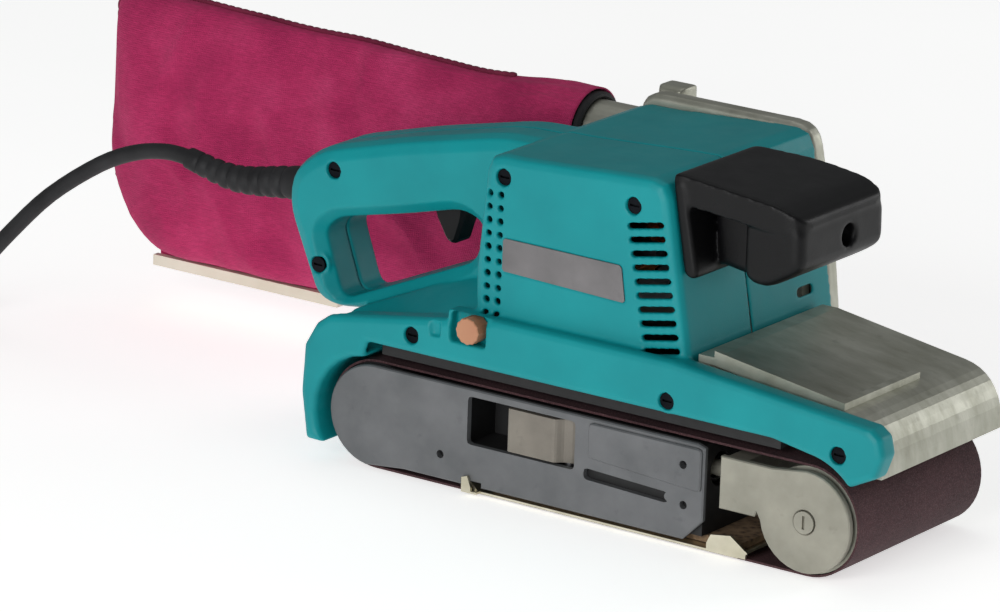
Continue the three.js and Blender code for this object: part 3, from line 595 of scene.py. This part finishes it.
# x, top z, bottom z down the length of the bag
BAG_PROFILE = [
    (-0.0960, 0.1506, 0.1104), (-0.1200, 0.1506, 0.1104), (-0.1260, 0.1495, 0.0900),
    (-0.1390, 0.1480, 0.0690), (-0.1600, 0.1465, 0.0490), (-0.1850, 0.1470, 0.0360),
    (-0.2150, 0.1480, 0.0280), (-0.2500, 0.1490, 0.0258), (-0.3300, 0.1512, 0.0258),
    (-0.3480, 0.1516, 0.0290), (-0.3600, 0.1510, 0.0430), (-0.3715, 0.1440, 0.0620),
]


STATIONS, AROUND = 150, 112
RING_NEAR_NECK, RING_OVER_RAIL = 24, 62  # where the seam starts above and ends below
CLOTH = 0.0008
NECK_LENGTH, OPENING_LENGTH = 0.028, 0.085  # straight over the collar, then widening to full height
END_ROUNDING = 0.030
WIDEST = 0.0205
SAFE_HALF_WIDTH = 0.0245


def profile_at(x):
    """The bag's top and bottom height at x."""
    for (x0, top0, low0), (x1, top1, low1) in zip(BAG_PROFILE, BAG_PROFILE[1:]):
        if x >= x1:
            break
    t = min(1.0, max(0.0, (x0 - x) / (x0 - x1)))
    return top0 + (top1 - top0) * t, low0 + (low1 - low0) * t


def blended_profile(x):
    """The profile with its corners rounded by averaging over 16 mm."""
    spread = [profile_at(x + shift * 0.004) for shift in (-2, -1, 0, 1, 2)]
    return (sum(pair[k] for pair in spread) / 5 for k in (0, 1))


def ridge(spot):
    """A sharp-backed fold: high along the line where the noise passes through nought."""
    return (1 - min(1.0, abs(noise.noise(spot)) * 2.6)) ** 2


def cloth_place(x, height, side):
    """Where a spot of cloth lies in the noise; its two sides lie far apart, so they differ."""
    return Vector((x * 15, height * 0.0085, 3.0 * side))


def relief(x, height, side):
    """How far the cloth stands out of its plain shape: broad billows, sharp folds, a slant."""
    place = cloth_place(x, height, side)
    bend = place * 1.7
    warp = Vector((noise.noise(bend), noise.noise(bend + Vector((9, 4, 1))), 0)) * 0.7
    billow = noise.noise(place * 0.75) * 0.0052
    folds = ridge(place * 1.3 + warp) * 0.0034 + ridge(place * 2.9 + warp * 1.5) * 0.0012
    slant = math.sin((x * 1000 + height * 0.45) * 0.16 + 5 * noise.noise(place * 0.5)) * 0.0009
    return billow + folds + slant - 0.0028


def pleat(x, height, side, angle, run):
    """The small gathers where the neck is drawn over the collar."""
    wave = math.sin(angle * 17 + 2 * noise.noise(cloth_place(x, height, side)))
    return wave * 0.0005 * ease(run / 0.02) * max(0.0, 1 - run / OPENING_LENGTH)


def bag_rings():
    """Rings of cloth from the neck to the sewn end: round at first, then flat and tall."""
    first, last = BAG_PROFILE[0][0], BAG_PROFILE[-1][0]
    rings = []
    for i in range(STATIONS + 1):
        x = first + (last - first) * i / STATIONS
        run = first - x
        top, low = blended_profile(x)
        open_up = ease((run - NECK_LENGTH) / OPENING_LENGTH)
        close = min(1.0, (x - last) / END_ROUNDING)
        corner = 0.07 + 0.93 * math.sqrt(max(0.0, 1 - (1 - close) ** 2))
        half_wide = (NECK_RADIUS + (WIDEST - NECK_RADIUS) * open_up) * corner
        centre_y = NECK[0] + (MIDDLE_Y - NECK[0]) * open_up
        centre_z, half_high = (top + low) / 2, (top - low) / 2
        ring = []
        for k in range(AROUND):
            angle = 2 * math.pi * k / AROUND
            s, c = math.sin(angle), math.cos(angle)
            side = math.copysign(1, s)
            belly = abs(s) ** (1 - 0.35 * open_up)
            z = half_high * math.copysign(abs(c) ** (1 - 0.10 * open_up), c)
            # the cloth hangs: fuller low down, and flatter under its top seam
            sag = 1 + 0.14 * open_up * (-z / max(half_high, 1e-6))
            height = (centre_z + z) * 1000
            gather = pleat(x, height, side, angle, run)
            soft = open_up * abs(s) ** 0.55 * (0.2 + 0.8 * corner)
            y = side * (half_wide * belly * sag + relief(x, height, side) * soft) + s * gather
            z += noise.noise(Vector((x * 24, 1.7, c))) * 0.0011 * open_up + c * gather
            y = max(-SAFE_HALF_WIDTH, min(SAFE_HALF_WIDTH, y))
            ring.append(Vector((x, centre_y + y, centre_z + z)))
        rings.append(ring)
    return rings


def shell_of(name, rings):
    """A cloth shell through the rings, open at the neck."""
    piece = add_to_scene(name, mesh_of_rings(name, rings, open_start=True))
    cloth = piece.modifiers.new("cloth", "SOLIDIFY")
    cloth.thickness = CLOTH
    cloth.offset = -1
    applied(piece)
    piece.data.polygons.foreach_set("use_smooth", [True] * len(piece.data.polygons))
    return piece


def resampled(points, step):
    """Points at even steps along the line."""
    made = [points[0]]
    left = step
    for a, b in zip(points, points[1:]):
        length = (b - a).length
        at = left
        while at <= length and length > 0:
            made.append(a + (b - a) * (at / length))
            at += step
        left = at - length
    return made


def make_seam(rings):
    """A sewn edge along top, end and bottom: a thin round tape that each stitch bites into."""
    radius, pitch = 0.0013, 0.0042
    half = AROUND // 2
    lift = Vector((0, 0, 0.0007))
    top = [ring[0] + lift for ring in rings[RING_NEAR_NECK:]]
    end = rings[-1]
    edge_x, drop = end[0].x - 0.0006, end[half].z - end[0].z
    rear = [Vector((edge_x, MIDDLE_Y, end[0].z + drop * i / 30)) for i in range(1, 31)]
    under = [ring[half] - lift for ring in reversed(rings[RING_OVER_RAIL:])]
    points = resampled(top + rear + under, 0.0008)
    radii = []
    for run in travelled(points):
        bite = (0.5 + 0.5 * math.cos(2 * math.pi * run / pitch)) ** 3
        radii.append(radius * (1 - 0.24 * bite))
    return dressed(make_tube("bag_seam", points, radii, 10, 50), SEAM, "dust_bag")


def make_lip():
    """The folded edge of the emptying slot, gripped by the rail."""
    low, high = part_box("bag_rail")
    foot, rim = low.z + 0.0024, 0.0300
    steps = 40
    rings = []
    for i in range(steps + 1):
        x = high.x - 0.002 + (low.x - high.x + 0.004) * i / steps
        y = (low.y + high.y) / 2 + 0.0003 * math.sin(i * 0.9)
        rings.append([Vector((x, y + across, z)) for across, z in (
            (-0.0009, foot), (0.0009, foot), (0.0014, rim), (-0.0014, rim))])
    fold = add_to_scene("bag_lip", mesh_of_rings("bag_lip", rings))
    return dressed(fold, LOOKS["berry_cloth"], "dust_bag")


def make_bag():
    rings = bag_rings()
    bag = dressed(shell_of("bag", rings), LOOKS["berry_cloth"], "dust_bag")
    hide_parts("dust_bag")
    seam = make_seam(rings)
    fold = make_lip()


make_bag()


# ---- Stage -----------------------------------------------------------------------------------------
LAMPS = (  # name, place, size, power
    ("key", (0.15, -1.95, 0.68), 1.1, 22),
    ("rim", (1.05, 1.6, 0.66), 0.8, 7),
    ("top", (-0.3, 0.4, 2.0), 1.4, 4),
)
LIT_POINT = Vector((-0.05, 0, 0.07))


def make_floor():
    """A plain pale floor, lit a little from within so that it stays near white."""
    mesh = bpy.data.meshes.new("floor")
    corners = [(x, y, -0.0006) for x, y in ((-6, -6), (6, -6), (6, 6), (-6, 6))]
    mesh.from_pydata(corners, [], [(0, 1, 2, 3)])
    floor = add_to_scene("floor", mesh)
    look = Look("floor", 0.7)
    look.set(Specular_IOR_Level=0.1, Emission_Strength=0.57)
    look.shader.inputs["Emission Color"].default_value = (1, 1, 1, 1)
    look.colour(look.ramp(look.noise(3, 2), (0.2, srgb(246, 246, 244)), (0.8, srgb(252, 252, 250))))
    give(floor, look.material)


def make_lights():
    world = bpy.data.worlds.new("studio")
    bpy.context.scene.world = world
    world.use_nodes = True
    sky = world.node_tree.nodes["Background"].inputs
    sky["Color"].default_value = (0.96, 0.98, 1.0, 1)
    sky["Strength"].default_value = 0.2
    for name, place, size, power in LAMPS:
        data = bpy.data.lights.new(name, "AREA")
        data.energy = power
        data.size = size
        lamp = bpy.data.objects.new(name, data)
        lamp.location = place
        aim = LIT_POINT - lamp.location
        lamp.rotation_euler = aim.to_track_quat("-Z", "Y").to_euler()
        bpy.context.scene.collection.objects.link(lamp)
    bpy.context.scene.view_settings.view_transform = "Standard"


make_floor()
make_lights()
